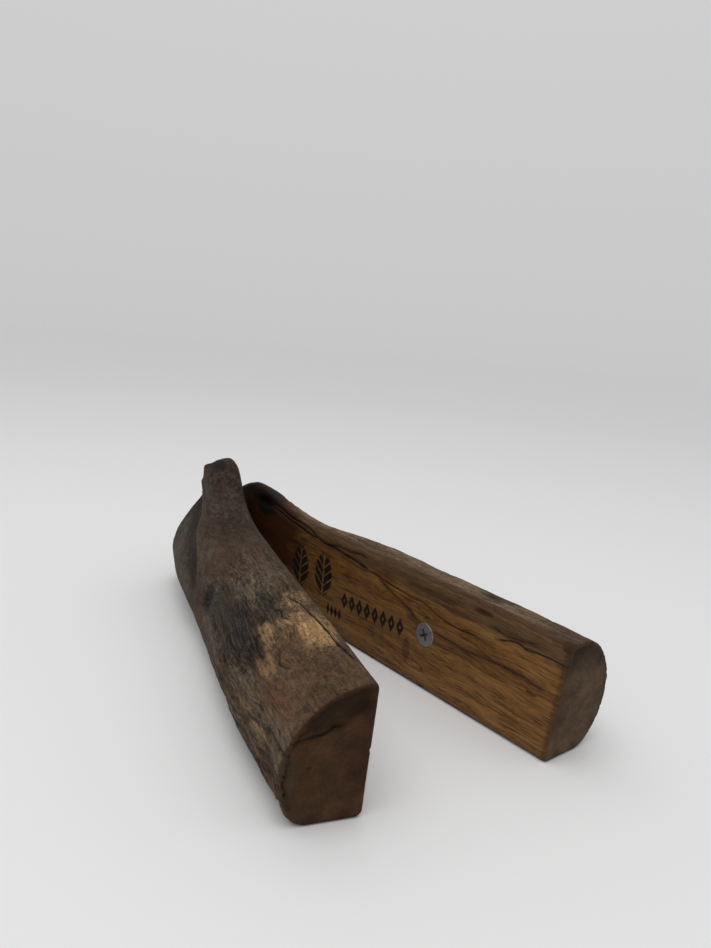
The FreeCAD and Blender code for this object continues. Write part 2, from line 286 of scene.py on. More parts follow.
class Value:
    """One output of a shader node; expressions on it add Math nodes."""

    def __init__(self, shade, socket):
        self.shade = shade
        self.socket = socket

    def math(self, operation, *others):
        return self.shade.node("ShaderNodeMath", {"operation": operation},
                               dict(enumerate((self,) + others)))

    def __add__(self, other):
        return self.math("ADD", other)

    def __sub__(self, other):
        return self.math("SUBTRACT", other)

    def __mul__(self, other):
        return self.math("MULTIPLY", other)

    def __truediv__(self, other):
        return self.math("DIVIDE", other)

    def __rsub__(self, other):
        return self.shade.node("ShaderNodeMath", {"operation": "SUBTRACT"}, {0: other, 1: self})

    __radd__ = __add__
    __rmul__ = __mul__

    def abs(self):
        return self.math("ABSOLUTE")

    def power(self, exponent):
        return self.math("POWER", exponent)

    def most(self, other):
        return self.math("MAXIMUM", other)

    def rise(self, low, high):
        """0 below low, 1 above high and a smooth step between; low above high falls instead."""
        start, end = (low, high) if low < high else (high, low)
        ends = (0.0, 1.0) if low < high else (1.0, 0.0)
        return self.shade.node("ShaderNodeMapRange", {"interpolation_type": "SMOOTHSTEP"},
                               {0: self, 1: start, 2: end, 3: ends[0], 4: ends[1]})


class Shade:
    """Builds one material's node tree."""

    def __init__(self, name):
        self.material = bpy.data.materials.new(name)
        self.material.use_nodes = True
        self.tree = self.material.node_tree
        self.shader = self.tree.nodes["Principled BSDF"]

    def node(self, kind, settings=None, inputs=None, output=0):
        made = self.tree.nodes.new(kind)
        for key, value in (settings or {}).items():
            if key == "points":
                self.set_points(made.mapping, value)
            else:
                setattr(made, key, value)
        for key, value in (inputs or {}).items():
            self.feed(made.inputs[key], value)
        return Value(self, made.outputs[output])

    def feed(self, socket, value):
        if isinstance(value, Value):
            self.tree.links.new(value.socket, socket)
        elif socket.type == "RGBA" and len(value) == 3:
            socket.default_value = (*value, 1.0)
        else:
            socket.default_value = value

    @staticmethod
    def set_points(mapping, points):
        curve = mapping.curves[0]
        curve.points[0].location = points[0]
        curve.points[1].location = points[-1]
        for point in points[1:-1]:
            curve.points.new(*point)
        for point in curve.points:
            point.handle_type = "VECTOR"
        mapping.update()

    def mix(self, share, low, high):
        """One colour painted over another; both may be links."""
        return self.node("ShaderNodeMix", {"data_type": "RGBA"}, {0: share, 6: low, 7: high}, 2)

    def vector(self, operation, first, second, output=0):
        return self.node("ShaderNodeVectorMath", {"operation": operation},
                         {0: first, 1: second}, output)

    def dim(self, colour, factor):
        """A colour made darker or lighter by a factor that may vary."""
        scaled = self.node("ShaderNodeVectorMath", {"operation": "SCALE"}, {0: colour})
        self.feed(scaled.socket.node.inputs["Scale"], factor)
        return scaled

    def attribute(self, name):
        return self.node("ShaderNodeAttribute", {"attribute_name": name}, None, "Fac")

    def noise(self, place, sizes, detail=3.0, roughness=0.55, distortion=0.0):
        """Noise whose lumps have the given sizes along the three axes of the place."""
        return self.node("ShaderNodeTexNoise", None, {
            "Vector": self.vector("DIVIDE", place, sizes), "Scale": 1.0, "Detail": detail,
            "Roughness": roughness, "Distortion": distortion})

    def blob(self, place, centre, radii, ragged):
        """1 inside a soft, ragged patch round a centre, 0 outside."""
        gap = self.vector("DIVIDE", self.vector("SUBTRACT", place, centre), radii)
        far = self.vector("LENGTH", gap, (0, 0, 0), 1)
        return (far + ragged).rise(1.25, 0.75)

    def finish(self, colour, roughness, bump=None, strength=0.5, depth=0.2):
        self.feed(self.shader.inputs["Base Color"], colour)
        self.feed(self.shader.inputs["Roughness"], roughness)
        if bump is not None:
            normal = self.node("ShaderNodeBump", None, {
                "Strength": strength, "Distance": depth * MM, "Height": bump})
            self.tree.links.new(normal.socket, self.shader.inputs["Normal"])
        return self.material


def half_place(shade, side):
    """The shaded point in a half's own frame, in millimetres, along from the head end."""
    coords = shade.node("ShaderNodeTexCoord", None, None, "Object")
    place = shade.node("ShaderNodeMapping", {"vector_type": "TEXTURE"}, {
        "Vector": coords, "Location": PIN, "Rotation": (0, 0, half_turn(side)),
        "Scale": (MM, MM * side, MM)})
    place = shade.vector("SUBTRACT", place, (HEAD_END, 0, 0))
    parts = shade.node("ShaderNodeSeparateXYZ", None, {0: place})
    outs = [Value(shade, parts.socket.node.outputs[axis]) for axis in range(3)]
    return place, outs[0], outs[1], outs[2]


def crack_mask(shade, where, height, crack, wander):
    """1 along a crack drawn as height over distance, thinning out at both its ends."""
    points, width, depth = crack
    span, rise = LIMB_LENGTH + 4.0, 60.0
    first, last = points[0][0], points[-1][0]
    ends = [(0.0, points[0][1] / rise)] + [(x / span, y / rise) for x, y in points]
    ends.append((1.0, points[-1][1] / rise))
    line = shade.node("ShaderNodeFloatCurve", {"points": ends}, {1: where / span}) * rise
    gap = (height - line + wander).abs()
    body = gap.rise(width, width * 0.35)
    reach = where.rise(first - 1.0, first + 2.0) * where.rise(last + 1.0, last - 2.5)
    return body * reach * min(1.0, 0.30 + depth * 1.4)


def any_of(masks):
    """The strongest of several masks."""
    total = masks[0]
    for mask in masks[1:]:
        total = total.most(mask)
    return total


# Materials ---------------------------------------------------------------------------------


def end_grain(shade, place, tone, wander, worn):
    """Sawn end: faint growth rings round the pith, crossed by the marks of the saw, with painted
    shade in its hollows.
    """
    ring = shade.vector("DISTANCE", shade.vector("MULTIPLY", place, (0, 1, 1)), (0, *PITH), 1)
    rings = ((ring + wander * 3.5) * 4.4).math("SINE") * 0.5 + 0.5
    pores = shade.noise(place, (9.0, 0.30, 0.30), 2.0)
    hatch = shade.noise(place, (9.0, 2.6, 0.30), 3.0, 0.6)
    blotch = shade.noise(place, (20.0, 6.0, 6.0), 4.0, 0.6)
    light = 0.80 + (blotch - 0.5) * 1.5 + (pores - 0.5) * 0.7 + (rings - 0.5) * 0.10
    light = light + (hatch - 0.5) * 0.7
    # Painted shade in the bevel and chips of the sawn end, by how deep they are hollowed
    colour = shade.dim(tone, light.most(0.2) * (0.74 + worn.rise(-1.0, -0.05) * 0.40))
    return colour, rings * 0.15 + hatch * 1.0 + pores * 0.3


def burnt_marks(along, up, scorch):
    """Two burnt leaves and a rising row of burnt lozenges."""
    marks = []
    for centre, height in LEAVES:
        across = (along - centre).abs()
        tall = (up - height).abs()
        # A leaf is where two circles overlap; its veins are left unburnt
        radius = LEAF_BOW + LEAF_HALF_WIDTH
        blade = ((across + LEAF_BOW).power(2.0) + tall.power(2.0)).power(0.5)
        inside = (blade + scorch).rise(radius + 0.2, radius - 0.3)
        rib = (across + scorch * 0.5).rise(0.35, 0.7)
        slant = (up - across * 0.8 + (100.0 - height)) / VEIN_STEP
        vein = ((slant.math("FRACT") - 0.5).abs() * VEIN_STEP + scorch * 0.5).rise(0.22, 0.55)
        marks.append(inside * rib * vein)
    local = (((along - ROW_START) / ROW_STEP).math("FRACT") - 0.5).abs() * ROW_STEP
    rise = (up - ROW_UP - (along - 101.0) * 0.034).abs()
    lozenge = (local * 1.7 + rise + scorch).rise(3.3, 2.8)
    hollow = (local * 1.7 + rise).rise(0.65, 1.05)
    end = ROW_START + ROW_COUNT * ROW_STEP
    row = along.rise(ROW_START - 0.2, ROW_START + 0.1) * along.rise(end + 0.2, end - 0.1)
    marks.append(lozenge * hollow * row)
    local = (((along - SMALL_ROW_START) / SMALL_ROW_STEP).math("FRACT") - 0.5).abs() * SMALL_ROW_STEP
    small = (local * 1.6 + (up - SMALL_ROW_UP).abs() * 0.75 + scorch).rise(1.75, 1.4)
    row = along.rise(SMALL_ROW_START - 0.2, SMALL_ROW_START + 0.1)
    row = row * along.rise(SMALL_ROW_END + 0.1, SMALL_ROW_END - 0.1)
    marks.append(small * row)
    return any_of(marks)


def split_face(shade, place, along, out, up, colours, wander, worn):
    """Oiled golden face: streaks along the grain, cracks, a dark knot and burnt marks, with painted
    shadow about the head and painted shade in its hollows.
    """
    bend = shade.noise(place, (38.0, 30.0, 9.0), 2.0) - 0.5
    flow = shade.node("ShaderNodeCombineXYZ", None, {
        0: along, 1: out, 2: up + bend * 6.0 + along * 0.045})
    broad = shade.noise(flow, (60.0, 20.0, 4.2), 4.0, 0.6)
    streak = shade.noise(flow, (20.0, 12.0, 0.95), 6.0, 0.72, 0.35)
    fine = shade.noise(flow, (6.5, 6.0, 0.27), 5.0, 0.70)
    pore = shade.noise(flow, (4.2, 3.0, 0.22), 2.0, 0.5)
    colour = shade.mix(broad.rise(0.38, 0.64), colours.split_face, colours.honey)
    near = along.rise(120.0, 180.0)
    colour = shade.mix(streak.rise(0.49, 0.63) * (0.86 - near * 0.16), colour, colours.heartwood)
    band = up - 31.5 + along * 0.012 + bend * 7.0
    colour = shade.mix(band.rise(-5.0, 5.0) * streak.rise(0.36, 0.60) * 0.55, colour,
                       colours.heartwood)
    slits = pore.rise(0.56, 0.64) * broad.rise(0.64, 0.42)
    colour = shade.mix(slits * 0.9, colour, scaled(colours.heartwood, 0.4))
    colour = shade.dim(colour, 0.52 + fine.rise(0.30, 0.70) * 0.90)
    # Sapwood band above the long crack, greyer towards the arris
    sap = (up - 36.6 + along * 0.042 + bend * 5.0).rise(-1.6, 2.0)
    grey = tuple(a * 0.75 + b * 0.25 for a, b in zip(colours.ash, colours.honey))
    grey = shade.dim(grey, 0.5 + fine.rise(0.32, 0.66) * 0.9)
    colour = shade.mix(sap * 0.75, colour, grey)
    # Dark, reddish wood about the head, deepened by painted shadow where the left half shades it,
    # and the knot in it
    red = tinted(colours.heartwood, (0.60, 0.42, 0.50))
    head = shade.blob(place, (18, 0, 28), (38, 40, 24), wander * 1.1)
    colour = shade.mix(head * 0.85, colour, red)
    # Painted shadow along the top edge of the head
    lip = (up - 44.0 + along * 0.16 + wander * 3.0).rise(-1.0, 1.5) * along.rise(46.0, 34.0)
    colour = shade.mix(lip * 0.8, colour, colours.stain)
    knot = shade.blob(place, (27.0, 0, 39.6), (9.0, 9, 4.2), wander * 1.6)
    colour = shade.mix(knot * 0.95, colour, scaled(colours.stain, 0.6))
    # Smaller knots and the burn beside the keeper screw
    for centre, radii, share in FACE_SPOTS:
        spot = shade.blob(place, centre, radii, wander * 1.9)
        colour = shade.mix(spot * share, colour, red)
    shake = (fine - 0.5) * 0.5 + (streak - 0.5) * 1.2
    cracks = any_of([crack_mask(shade, along, up, crack, shake) for crack in FACE_CRACKS])
    halo = any_of([crack_mask(shade, along, up, (crack[0], crack[1] * 4.5, crack[2]), shake)
                   for crack in FACE_CRACKS[:4] + FACE_CRACKS[5:7]])
    colour = shade.mix(halo * 0.5, colour, colours.heartwood)
    colour = shade.mix(cracks * 0.95, colour, scaled(colours.stain, 0.3))
    scorch = (fine - 0.5) * 0.55 + (pore - 0.5) * 0.35
    marks = burnt_marks(along, up, scorch)
    brown = burnt_marks(along, up, scorch - 0.45)
    colour = shade.mix(brown * 0.55, colour, colours.heartwood)
    colour = shade.mix(marks * 0.97, colour, colours.burn)
    # Painted shade in the cracks, knot holes and other hollows of the face
    colour = shade.dim(colour, 0.35 + worn.rise(-1.0, -0.15) * 0.65)
    height = streak * -0.30 + fine * -0.35 - slits * 0.5 - cracks * 2.0 - marks * 0.8
    return colour, height, marks


def bark_side(shade, place, along, out, up, colours, wander, patches, cracks, worn, calm):
    """Weathered bark side: taupe and grey wood with stains, worn patches and furrows, painted shade
    that deepens towards the head and in the furrows, and painted highlight on the swellings.
    """
    swirl = shade.noise(place, (30.0, 12.0, 12.0), 1.5)
    flow = shade.vector("ADD", place, shade.node("ShaderNodeCombineXYZ", None, {
        0: 0.0, 1: (swirl - 0.5) * 6.0, 2: (swirl - 0.5) * -9.0}))
    broad = shade.noise(flow, (30.0, 9.0, 9.0), 5.0, 0.62)
    fibre = shade.noise(flow, (7.5, 0.62, 0.62), 4.0, 0.68, 0.15)
    mottle = shade.noise(flow, (3.2, 1.9, 1.9), 5.0, 0.72, 0.6)
    speck = shade.noise(flow, (0.8, 0.45, 0.45), 3.0, 0.6)
    colour = shade.mix(broad.rise(0.40, 0.60), colours.taupe, colours.ash)
    # Painted shade: the bark side grows darker towards the head end
    colour = shade.dim(colour, 0.62 + along.rise(5.0, 150.0) * 0.75)
    scars = 0.0
    for centre, radii, tint, share, rough in patches:
        patch = shade.blob(place, centre, radii, wander * rough + (mottle - 0.5) * rough)
        colour = shade.mix(patch * share, colour, tint)
        if tuple(tint) == tuple(colours.tan):
            # A thin dark line runs round each bare patch
            rim = (patch - 0.42).abs().rise(0.34, 0.06) * fibre.rise(0.40, 0.56)
            scars = rim * 0.8 if scars == 0.0 else scars.most(rim * 0.8)
    # Rough, fibrous wood in the stained stretch; smoother towards the head and the sawn end
    coarse = along.rise(66.0, 96.0) * (1.0 - along.rise(132.0, 168.0) * up.rise(22.0, 27.0) * 0.75)
    coarse = coarse * (1.0 - calm)
    tone = (fibre.rise(0.34, 0.64) - 0.5) * (0.14 + coarse * 0.95)
    tone = tone + (mottle.rise(0.38, 0.62) - 0.5) * (
        0.58 + coarse * 0.29 + along.rise(80.0, 30.0) * 0.35)
    tone = tone + (speck.rise(0.36, 0.62) - 0.5) * 0.36 + (broad - 0.5) * 0.9
    colour = shade.dim(colour, (1.0 + tone).most(0.12))
    # Painted shade in the furrows and dents, and painted highlight on the swellings
    colour = shade.dim(colour, 0.42 + worn.rise(-1.0, 0.30) * 0.86)
    threads = (fibre - 0.5).abs().rise(0.022, 0.004) * mottle.rise(0.46, 0.60) * coarse
    colour = shade.mix(threads * 0.75, colour, scaled(colours.stain, 0.4))
    pale = (swirl * 0.4 + fibre - 0.74).abs().rise(0.030, 0.008) * coarse
    colour = shade.mix(pale * 0.4, colour, scaled(colours.tan, 0.75))
    if scars != 0.0:
        colour = shade.mix(scars, colour, scaled(colours.stain, 0.9))
    lines = any_of([crack_mask(shade, along, out, crack, (fibre - 0.5) * 1.2)
                    for crack in cracks] or [speck * 0.0])
    lines = lines * up.rise(15.0, 22.0)
    colour = shade.mix(lines * 0.92, colour, scaled(colours.stain, 0.3))
    height = fibre * (0.06 + coarse * 0.7) + mottle * (0.6 + coarse * 0.6) + speck * 0.2
    height = height - lines * 2.0 - threads * 0.8
    return colour, height


def ridge_line(shade, along):
    """Height of the soft ridge that runs down from the left head, by distance along."""
    span, rise = float(RIDGE_ALONG[-1]), 60.0
    points = [(x / span, up / rise) for x, up in zip(RIDGE_ALONG, RIDGE_UP)]
    return shade.node("ShaderNodeFloatCurve", {"points": points}, {1: along / span}) * rise


def ridge_shading(shade, bark, along, out, up, colours, wander):
    """Painted highlight along the edge of the left head's ridge and painted shade in the hollow
    along its lower side.
    """
    gap = up - ridge_line(shade, along) + wander * 1.2
    upper = along.rise(66.0, 50.0) * out.rise(8.0, 12.0)
    lip = (gap - 0.4).abs().rise(1.1, 0.2) * upper
    bark = shade.mix(lip * 0.5, bark, scaled(colours.taupe, 1.9))
    hollow = gap.rise(-6.5, -1.5) * gap.rise(-0.2, -1.0) * upper
    return shade.mix(hollow * 0.12, bark, scaled(colours.taupe, 0.55))


def sawn_tone(shade, side, place, out, up, colours, wander, end_tone):
    """Broad tones of the sawn end: dark under the bark, grey outside, red by the split face."""
    tone = shade.mix(wander.rise(-0.2, 0.2), end_tone[0], end_tone[1])
    top = (up + wander * 8.0).rise(24.0, 31.0)
    top_dim, red_share = (0.50, 0.3) if side > 0 else (0.36, 0.6)
    tone = shade.dim(tone, 1.0 - top * top_dim)
    grey = shade.blob(place, (LIMB_LENGTH, 21.5, 14), (14, 3.4, 8), wander)
    tone = shade.mix(grey * 0.5, tone, scaled(colours.ash, 1.1))
    red = shade.blob(place, (LIMB_LENGTH, 1.0, 19), (14, 6.0, 11), wander)
    tone = shade.mix(red * red_share, tone, tinted(colours.end_grain, (0.62, 0.45, 0.45)))
    if side < 0:
        split = crack_mask(shade, out, up, END_SPLIT, wander)
        tone = shade.mix(split * 0.9, tone, colours.burn)
    return tone


def wood_material(name, side, colours, patches, cracks, end_tone):
    """All the faces of one half: split face, bark side and sawn ends, told apart by place."""
    shade = Shade(name)
    place, along, out, up = half_place(shade, side)
    # The first attribute is how far the surface stands out; the colours use it for painted shade in
    # hollows
    worn, sawn = shade.attribute("worn"), shade.attribute("sawn")
    wander = shade.noise(place, (11.0, 4.5, 4.5), 4.0, 0.65) - 0.5
    face, face_height, marks = split_face(shade, place, along, out, up, colours, wander, worn)
    # The right half's crest is rubbed smooth
    calm = up.rise(28.0, 33.0) * out.rise(9.0, 6.0) * (0.7 if side > 0 else 0.0)
    bark, bark_height = bark_side(shade, place, along, out, up, colours, wander, patches, cracks,
                                  worn, calm)
    if side < 0:
        bark = ridge_shading(shade, bark, along, out, up, colours, wander)
    tone = sawn_tone(shade, side, place, out, up, colours, wander, end_tone)
    ends, end_height = end_grain(shade, place, tone, wander, worn)
    # The right half's oil runs over its rubbed upper arris, up to the crest
    oiled_arris = up.rise(26.0, 30.0) * 1.7 if side > 0 else 0.0
    on_bark = (out + wander * 0.9 - INNER_FACE - oiled_arris).rise(0.35, 1.15)
    from_end = along - up * SAWN_SLOPE[side] - (SAWN_FOOT[side] - HEAD_END)
    if side > 0:
        edge = (out - INNER_FACE).rise(0.15, 0.9) * up.rise(26.0, 30.0) * along.rise(40.0, 60.0)
        face = shade.mix(edge * 0.6, face, scaled(colours.heartwood, 0.8))
    colour = shade.mix(on_bark, face, bark)
    rubbed = from_end.rise(-2.6, -0.8) * (out - INNER_FACE).rise(2.2, 0.5)
    colour = shade.mix(rubbed * 0.6, colour, scaled(colours.heartwood, 0.6))
    colour = shade.mix(sawn, colour, ends)
    # Painted shade along the foot, where the wood meets the floor
    foot_shade = up.rise(1.4, 0.2)
    colour = shade.dim(colour, 1.0 - foot_shade * 0.45)
    flat = 1.0 - sawn
    height = (face_height * (1.0 - on_bark) + bark_height * on_bark) * flat
    height = height + end_height * sawn * 0.7
    oiled = (1.0 - on_bark) * flat * (1.0 - marks)
    roughness = 0.80 - oiled * 0.26 + wander * 0.12
    # Dry wood shines less than plastic
    shade.shader.inputs["Specular IOR Level"].default_value = 0.16
    return shade.finish(colour, roughness, height, 0.7, 0.35)


def metal_material(name, colour, tarnish, roughness, metallic=1.0):
    """Plain metal with dull blotches and fine scratches."""
    shade = Shade(name)
    coords = shade.node("ShaderNodeTexCoord", None, None, "Object")
    place = shade.vector("SCALE", coords, (0, 0, 0))
    place.socket.node.inputs["Scale"].default_value = 1.0 / MM
    blotch = shade.noise(place, (3.2, 3.2, 3.2), 4.0, 0.6)
    scratch = shade.noise(place, (0.14, 0.14, 2.4), 2.0, 0.5)
    tone = blotch.rise(0.38, 0.68)
    base = shade.mix(tone * 0.7, colour, tarnish)
    shade.shader.inputs["Metallic"].default_value = metallic
    rough = roughness + tone * 0.16 + (scratch - 0.5) * 0.10
    return shade.finish(base, rough, scratch * 0.6 + blotch * 0.4, 0.12, 0.02)


def floor_material(colour):
    """Pale floor with the faintest clouding."""
    shade = Shade("pale_floor")
    coords = shade.node("ShaderNodeTexCoord", None, None, "Object")
    cloud = shade.noise(coords, (0.4, 0.4, 0.4), 2.0)
    dimmer = scaled(colour, 0.985)
    return shade.finish(shade.mix(cloud, colour, dimmer), 0.85)


# Mesh helpers ------------------------------------------------------------------------------


# Large odd numbers that scatter neighbouring cells, for the three axes and the seed
SCATTER = (374761393, 668265263, 1440662683, 1274126177)
LOW_32, LOW_16 = 0xFFFFFFFF, 0xFFFF


def lattice(cells, seed):
    """A fixed pseudo-random number from -1 to 1 for each whole-numbered cell."""
    x, y, z = (cells[:, axis].astype(np.int64) for axis in range(3))
    mixed = (x * SCATTER[0] + y * SCATTER[1] + z * SCATTER[2] + seed * SCATTER[3]) & LOW_32
    mixed = ((mixed ^ (mixed >> 13)) * SCATTER[3]) & LOW_32
    return ((mixed ^ (mixed >> 16)) & LOW_16) / (LOW_16 / 2) - 1.0


def smooth_noise(points, sizes, seed):
    """Value noise, -1 to 1, with bumps of the given sizes in millimetres."""
    spread = points / np.array(sizes)
    cell = np.floor(spread)
    part = spread - cell
    part = part * part * (3 - 2 * part)
    total = np.zeros(len(points))
    for corner in np.ndindex(2, 2, 2):
        share = np.ones(len(points))
        for axis in range(3):
            share *= part[:, axis] if corner[axis] else 1 - part[:, axis]
        total += share * lattice(cell + np.array(corner), seed)
    return total


def layered_noise(points, sizes, seed, layers=3):
    """Value noise with ever finer, ever weaker layers."""
    total, weight = np.zeros(len(points)), 0.0
    for layer in range(layers):
        part = 0.5 ** layer
        total += part * smooth_noise(points, [size * part for size in sizes], seed + layer)
        weight += part
    return total / weight


def step_up(values, low, high):
    """0 below low, 1 above high and a smooth step between."""
    part = np.clip((values - low) / (high - low), 0, 1)
    return part * part * (3 - 2 * part)


def lump(points, centre, radii):
    """A smooth hill, 1 at its centre."""
    gap = (points - np.array(centre)) / np.array(radii)
    return np.exp(-(gap ** 2).sum(axis=1))


def add_lumps(values, points, table):
    """The values with a table of swellings and dents added."""
    for height, centre, radii in table:
        values = values + height * lump(points, centre, radii)
    return values


def groove(where, height, crack):
    """Depth of a crack at each point, in millimetres."""
    points, width, depth = crack
    xs, ys = zip(*points)
    gap = np.abs(height - np.interp(where, xs, ys))
    reach = step_up(where, xs[0] - 1, xs[0] + 2) * (1 - step_up(where, xs[-1] - 2.5, xs[-1] + 1))
    return depth * reach * np.exp(-(gap / max(width, 0.4)) ** 2)


def new_object(name, mesh, material):
    """An object with one material, in the scene."""
    made = bpy.data.objects.new(name, mesh)
    bpy.context.scene.collection.objects.link(made)
    mesh.materials.clear()
    mesh.materials.append(material)
    return made


def plain_mesh(source, name):
    """What an object's modifiers make, as a mesh of its own; the source is removed."""
    bpy.context.view_layer.update()
    graph = bpy.context.evaluated_depsgraph_get()
    mesh = bpy.data.meshes.new_from_object(source.evaluated_get(graph), depsgraph=graph)
    mesh.name = name
    bpy.data.objects.remove(source)
    return mesh


def surface_of(name, side):
    """A CAD node's surface in its half's own frame, for rays to meet."""
    mesh = frame["nodes"][name].data
    mesh.calc_loop_triangles()
    corners = [tuple(point) for point in node_points(name, side)]
    return BVHTree.FromPolygons(corners, [tuple(tri.vertices) for tri in mesh.loop_triangles])


def sawn_line(tree):
    """Where the sawn end meets the inner face: its place at the foot, and its slope upwards."""
    heights = (2.0, 30.0)
    found = []
    for height in heights:
        start = Vector((SAWN_END + 20.0, INNER_FACE + 1.0, height))
        found.append(tree.ray_cast(start, Vector((-1, 0, 0)))[0].x)
    slope = (found[1] - found[0]) / (heights[1] - heights[0])
    return found[0] - slope * heights[0], slope


SURFACES = {side: surface_of(name + "_half", side) for name, side in SIDES.items()}
SAWN_FOOT, SAWN_SLOPE = {}, {}
for each_side, each_tree in SURFACES.items():
    SAWN_FOOT[each_side], SAWN_SLOPE[each_side] = sawn_line(each_tree)


# The wooden halves -------------------------------------------------------------------------

INNER_POINTS = 88
FOOT_POINTS = 24
BARK_POINTS = 104
RAYS = 260
CAP_RINGS = 34
# Sections are cut at least this far inside the ends, and the sawn end leans over this length
END_MARGIN, LEAN_LENGTH = 0.4, 40.0


def resample(points, count):
    """Points spread evenly along a line, leaving out its last."""
    steps = np.linalg.norm(np.diff(points, axis=0), axis=1)
    reach = np.concatenate([[0], np.cumsum(steps)])
    wanted = np.linspace(0, reach[-1], count + 1)[:-1]
    return np.stack([np.interp(wanted, reach, points[:, axis]) for axis in range(2)], axis=1)


def section(tree, along):
    """Outline of a half at a distance from the pin, as (out, up): inner face, bark and foot."""
    down, inwards = Vector((0, 0, -1)), Vector((0, -1, 0))
    top = tree.ray_cast(Vector((along, INNER_FACE + 0.02, 100.0)), down)[0].z
    toe = tree.ray_cast(Vector((along, 100.0, 0.03)), inwards)[0].y
    out, up = RING_CENTRE
    first = math.atan2(INNER_FACE - out, top - up)
    last = math.atan2(toe - out, -up)
    centre = Vector((along, out, up))
    bark = [(INNER_FACE, top)]
    for turn in np.linspace(first, last, RAYS)[1:-1]:
        outwards = Vector((0, math.sin(turn), math.cos(turn)))
        hit = tree.ray_cast(centre + outwards * 80, -outwards)
        if hit[0] is not None and hit[0].z > 0.03:
            bark.append((hit[0].y, hit[0].z))
    bark.append((toe, 0.0))
    inner = np.array([(INNER_FACE, 0.0), (INNER_FACE, top)])
    foot = np.array([(toe, 0.0), (INNER_FACE, 0.0)])
    return np.concatenate([resample(inner, INNER_POINTS), resample(np.array(bark), BARK_POINTS),
                           resample(foot, FOOT_POINTS)])


def smooth_rings(rings, weight, passes, strength):
    """Draw each point towards its two neighbours in the ring, where the weight says so."""
    for _ in range(passes):
        around = (np.roll(rings, 1, axis=1) + np.roll(rings, -1, axis=1)) / 2
        rings = rings + (around - rings) * weight * strength
    return rings


def ease_corners(rings, arris):
    """Wear down the three long edges of every ring."""
    corners = (0, INNER_POINTS, INNER_POINTS + BARK_POINTS)
    weight = np.zeros(rings.shape[:2])
    for corner in corners:
        gap = np.linalg.norm(rings - rings[:, corner:corner + 1], axis=2)
        weight = np.maximum(weight, 1 - step_up(gap, arris * 0.8, arris * 1.8))
    return smooth_rings(rings, weight[..., None], 14, 0.7)


def round_crest(rings, places):
    """Round off the narrow crest along the top of a head, behind its split face."""
    spot = np.arange(rings.shape[1]) - INNER_POINTS
    band = step_up(spot, 1.0, 5.0) * (1 - step_up(spot, 34.0, 44.0))
    weight = band[None, :, None] * (1 - step_up(places, 46.0, 72.0))[:, None, None]
    return smooth_rings(rings, weight, 70, 0.8)


def inward(rings):
    """Unit vectors, in the plane of each ring, that point into the wood."""
    ahead = np.roll(rings, -1, axis=1) - np.roll(rings, 1, axis=1)
    normal = np.stack([ahead[..., 1], -ahead[..., 0]], axis=2)
    return normal / np.linalg.norm(normal, axis=2, keepdims=True).clip(1e-9)


def ring_places(step, arris):
    """Distances along the limb: close together at both worn ends, even between them."""
    tight = arris * (1 - np.cos(np.linspace(0, math.pi / 2, 7)))[:-1]
    count = round((LIMB_LENGTH - 2 * arris) / step)
    middle = np.linspace(arris, LIMB_LENGTH - arris, count + 1)
    return np.concatenate([tight, middle, (LIMB_LENGTH - tight)[::-1]])


def bark_relief(side, points, on_bark):
    """How far the bark side stands out from the smooth limb, in millimetres."""
    along, out, up = points.T
    swell = 0.42 * layered_noise(points, (34, 11, 11), 11 + side)
    furrow = 1 - np.abs(layered_noise(points, (26, 3.2, 3.2), 21 + side, 2)) * 2.6
    fibre = layered_noise(points, (7, 1.2, 1.2), 31 + side, 3)
    pits = layered_noise(points, (3.2, 1.8, 1.8), 51 + side, 2)
    furrows = -0.85 * step_up(furrow, 0.45, 1.0)
    if side < 0:
        low = 1 - step_up(up, 25.0, 31.0)
        rough = step_up(along, 70, 96) * (1 - 0.7 * step_up(along, 130, 160) * (1 - low))
        relief = swell + (0.06 + 0.16 * rough) * fibre + 0.14 * rough * pits
        relief += furrows * (0.08 + 0.30 * rough + 0.42 * low * step_up(along, 95, 135))
        # The rubbed top ends in a soft ridge, with a hollow along its lower side
        gap = up - np.interp(along, RIDGE_ALONG, RIDGE_UP)
        upper = (1 - step_up(along, 54, 76)) * step_up(out, 8, 12)
        relief += 0.55 * np.exp(-((gap - 0.5) / 1.1) ** 2) * upper
        relief -= 1.4 * step_up(-gap, 0.2, 2.6) * (1 - step_up(-gap, 3.5, 11.0)) * upper
        # A swelling all round the tip of the head
        relief += 0.8 * np.exp(-((up - 50.8) / 2.2) ** 2) * (1 - step_up(along, 8, 18))
        # Its top falls away outwards
        relief -= 1.6 * step_up(out, 2, 12) * step_up(up, 50.5, 53.5) * (1 - step_up(along, 12, 26))
        relief = add_lumps(relief, points, BARK_LUMPS[side])
        for crack in TOP_CRACKS:
            relief -= groove(along, out, crack) * step_up(up, 15, 22)
    else:
        relief = swell + 0.16 * fibre + 0.10 * pits + furrows * 0.35
        relief = add_lumps(relief, points, BARK_LUMPS[side])
    return relief * on_bark


def face_relief(side, points):
    """How deep the split face is hollowed, in millimetres."""
    along, _, up = points.T
    hollow = 0.05 * (1 + layered_noise(points, (30, 10, 7), 41 + side))
    if side > 0:
        for crack in FACE_CRACKS:
            hollow += groove(along, up, crack)
        hollow = add_lumps(hollow, points, FACE_HOLES)
    else:
        wander = layered_noise(points, (30, 6, 6), 47, 2)
        hollow += 0.35 * np.exp(-((up - 28 + along * 0.06 + wander * 2.5) / 0.5) ** 2)
    return hollow


